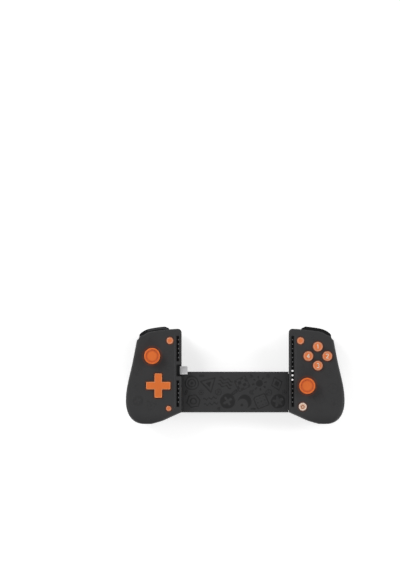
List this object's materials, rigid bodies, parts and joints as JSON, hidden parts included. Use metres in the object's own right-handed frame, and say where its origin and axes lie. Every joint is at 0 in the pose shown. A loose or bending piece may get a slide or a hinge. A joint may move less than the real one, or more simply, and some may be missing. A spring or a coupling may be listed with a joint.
{
  "type": "mobile game controller",
  "caption": "Telescopic game controller for a phone: two handgrips with thumb sticks, cross pad, round buttons and triggers on a sprung sliding bridge.",
  "frame": {"origin": "middle of the surface that the controller lies on, face up, with its bridge closed", "axes": "+X towards the right handgrip along the bridge, +Y towards the bumpers and triggers, +Z out of the front face"},
  "size_m": [0.2188, 0.0975, 0.043],
  "materials": {
    "shell": "fine matt grain, charcoal",
    "silicone": "soft black silicone",
    "membrane": "grey silicone keypad",
    "board": "green solder mask",
    "stick_metal": "pressed sheet steel",
    "white_plastic": "natural acetal",
    "stick_rubber": "soft matt orange",
    "orange_plastic": "satin orange",
    "orange_gloss": "satin orange with a paler rim",
    "pale_plastic": "pale peach",
    "black_plastic": "satin black",
    "plug_steel": "nickel-plated steel",
    "steel": "plain steel",
    "rail_paint": "matt charcoal paint on sheet metal",
    "ribbon": "amber polyimide",
    "light": "clear white light pipe"
  },
  "bodies": {
    "left_grip": {"left_front_shell": "shell", "left_rear_shell": "shell", "left_liner": "silicone", "left_main_board": "board", "left_stick_case": "stick_metal", "left_trigger_pin": "steel", "left_trigger_spring": "steel", "left_case_screws": "steel", "dpad_membrane": "membrane", "sleeve_rear_cover": "shell", "sleeve_front_plate": "shell", "tension_springs": "steel", "flex_ribbon": "ribbon"},
    "right_grip": {"right_front_shell": "shell", "right_rear_shell": "shell", "right_liner": "silicone", "right_main_board": "board", "right_stick_case": "stick_metal", "right_trigger_pin": "steel", "right_trigger_spring": "steel", "right_case_screws": "steel", "face_membrane": "membrane", "indicator_lights": "light", "slide_tray": "shell", "rail_plate": "rail_paint", "rail_rivets": "steel"},
    "left_stick_ring": {"left_stick_ring": "stick_metal"},
    "left_stick_hub": {"left_stick_hub": "stick_metal"},
    "left_stick_arch": {"left_stick_arch": "stick_metal"},
    "left_stick_cap": {"left_stick_stem": "white_plastic", "left_stick_cap": "stick_rubber"},
    "left_bumper": {"left_bumper": "black_plastic"},
    "left_trigger": {"left_trigger": "black_plastic"},
    "right_stick_ring": {"right_stick_ring": "stick_metal"},
    "right_stick_hub": {"right_stick_hub": "stick_metal"},
    "right_stick_arch": {"right_stick_arch": "stick_metal"},
    "right_stick_cap": {"right_stick_stem": "white_plastic", "right_stick_cap": "stick_rubber"},
    "right_bumper": {"right_bumper": "black_plastic"},
    "right_trigger": {"right_trigger": "black_plastic"},
    "dpad_pivot": {"dpad_pivot": "white_plastic"},
    "dpad": {"dpad": "orange_plastic"},
    "left_menu_button": {"left_menu_button": "orange_gloss"},
    "left_capture_button": {"left_capture_button": "orange_gloss"},
    "right_menu_button": {"right_menu_button": "orange_gloss"},
    "home_button": {"home_button": "pale_plastic"},
    "face_button_top": {"face_button_top": "orange_gloss"},
    "face_button_left": {"face_button_left": "orange_gloss"},
    "face_button_right": {"face_button_right": "orange_gloss"},
    "face_button_bottom": {"face_button_bottom": "orange_gloss"},
    "plug": {"plug_base": "black_plastic", "plug_shell": "plug_steel"}
  },
  "joints": [
    {"name": "bridge_slide", "type": "slide", "parent": "left_grip", "child": "right_grip", "axis": [1, 0, 0], "range_m": [0, 0.069], "stiffness_N_per_m": 60, "springref_m": -0.06, "deforming": ["tension_springs", "flex_ribbon"]},
    {"name": "left_stick_tip_x", "type": "hinge", "parent": "left_grip", "child": "left_stick_ring", "pos_m": [-0.0831, 0.0189, 0.0266], "axis": [1, 0, 0], "range_deg": [-16, 16], "stiffness_Nm_per_rad": 0.02},
    {"name": "left_stick_tip_y", "type": "hinge", "parent": "left_stick_ring", "child": "left_stick_hub", "pos_m": [-0.0831, 0.0189, 0.0266], "axis": [0, 1, 0], "range_deg": [-16, 16], "stiffness_Nm_per_rad": 0.02},
    {"name": "left_stick_press", "type": "slide", "parent": "left_stick_hub", "child": "left_stick_cap", "axis": [0, 0, -1], "range_m": [0, 0.0005], "stiffness_N_per_m": 1500},
    {"name": "left_stick_arch_tip", "type": "hinge", "parent": "left_grip", "child": "left_stick_arch", "pos_m": [-0.0831, 0.0189, 0.0266], "axis": [0, 1, 0], "range_deg": [-16, 16]},
    {"name": "left_bumper_press", "type": "hinge", "parent": "left_grip", "child": "left_bumper", "pos_m": [-0.0636, 0.0409, 0.029], "axis": [0, 0, 1], "range_deg": [0, 2], "stiffness_Nm_per_rad": 1.2},
    {"name": "left_trigger_pull", "type": "hinge", "parent": "left_grip", "child": "left_trigger", "pos_m": [-0.0778, 0.0356, 0.022], "axis": [-1, 0, 0], "range_deg": [0, 12], "stiffness_Nm_per_rad": 0.25},
    {"name": "right_stick_tip_x", "type": "hinge", "parent": "right_grip", "child": "right_stick_ring", "pos_m": [0.072, -0.0109, 0.0266], "axis": [1, 0, 0], "range_deg": [-16, 16], "stiffness_Nm_per_rad": 0.02},
    {"name": "right_stick_tip_y", "type": "hinge", "parent": "right_stick_ring", "child": "right_stick_hub", "pos_m": [0.072, -0.0109, 0.0266], "axis": [0, 1, 0], "range_deg": [-16, 16], "stiffness_Nm_per_rad": 0.02},
    {"name": "right_stick_press", "type": "slide", "parent": "right_stick_hub", "child": "right_stick_cap", "axis": [0, 0, -1], "range_m": [0, 0.0005], "stiffness_N_per_m": 1500},
    {"name": "right_stick_arch_tip", "type": "hinge", "parent": "right_grip", "child": "right_stick_arch", "pos_m": [0.072, -0.0109, 0.0266], "axis": [0, 1, 0], "range_deg": [-16, 16]},
    {"name": "right_bumper_press", "type": "hinge", "parent": "right_grip", "child": "right_bumper", "pos_m": [0.0636, 0.0409, 0.029], "axis": [0, 0, -1], "range_deg": [0, 2], "stiffness_Nm_per_rad": 1.2},
    {"name": "right_trigger_pull", "type": "hinge", "parent": "right_grip", "child": "right_trigger", "pos_m": [0.0778, 0.0356, 0.022], "axis": [-1, 0, 0], "range_deg": [0, 12], "stiffness_Nm_per_rad": 0.25},
    {"name": "dpad_tip_x", "type": "hinge", "parent": "left_grip", "child": "dpad_pivot", "pos_m": [-0.077, -0.0107, 0.0316], "axis": [1, 0, 0], "range_deg": [-3.2, 3.2], "stiffness_Nm_per_rad": 0.1},
    {"name": "dpad_tip_y", "type": "hinge", "parent": "dpad_pivot", "child": "dpad", "pos_m": [-0.077, -0.0107, 0.0316], "axis": [0, 1, 0], "range_deg": [-3.2, 3.2], "stiffness_Nm_per_rad": 0.1},
    {"name": "left_menu_button_press", "type": "slide", "parent": "left_grip", "child": "left_menu_button", "axis": [0, 0, -1], "range_m": [0, 0.0012], "stiffness_N_per_m": 450},
    {"name": "left_capture_button_press", "type": "slide", "parent": "left_grip", "child": "left_capture_button", "axis": [0, 0, -1], "range_m": [0, 0.0012], "stiffness_N_per_m": 450},
    {"name": "right_menu_button_press", "type": "slide", "parent": "right_grip", "child": "right_menu_button", "axis": [0, 0, -1], "range_m": [0, 0.0012], "stiffness_N_per_m": 450},
    {"name": "home_button_press", "type": "slide", "parent": "right_grip", "child": "home_button", "axis": [0, 0, -1], "range_m": [0, 0.0012], "stiffness_N_per_m": 450},
    {"name": "face_button_top_press", "type": "slide", "parent": "right_grip", "child": "face_button_top", "axis": [0, 0, -1], "range_m": [0, 0.0012], "stiffness_N_per_m": 450},
    {"name": "face_button_left_press", "type": "slide", "parent": "right_grip", "child": "face_button_left", "axis": [0, 0, -1], "range_m": [0, 0.0012], "stiffness_N_per_m": 450},
    {"name": "face_button_right_press", "type": "slide", "parent": "right_grip", "child": "face_button_right", "axis": [0, 0, -1], "range_m": [0, 0.0012], "stiffness_N_per_m": 450},
    {"name": "face_button_bottom_press", "type": "slide", "parent": "right_grip", "child": "face_button_bottom", "axis": [0, 0, -1], "range_m": [0, 0.0012], "stiffness_N_per_m": 450},
    {"name": "plug_tilt", "type": "hinge", "parent": "left_grip", "child": "plug", "pos_m": [-0.0584, 0.0045, 0.0275], "axis": [0, -1, 0], "range_deg": [0, 35], "stiffness_Nm_per_rad": 0.03}
  ],
  "couplings": [
    {"joint": "left_stick_arch_tip", "follows": "left_stick_tip_y", "ratio": 1},
    {"joint": "right_stick_arch_tip", "follows": "right_stick_tip_y", "ratio": 1}
  ]
}
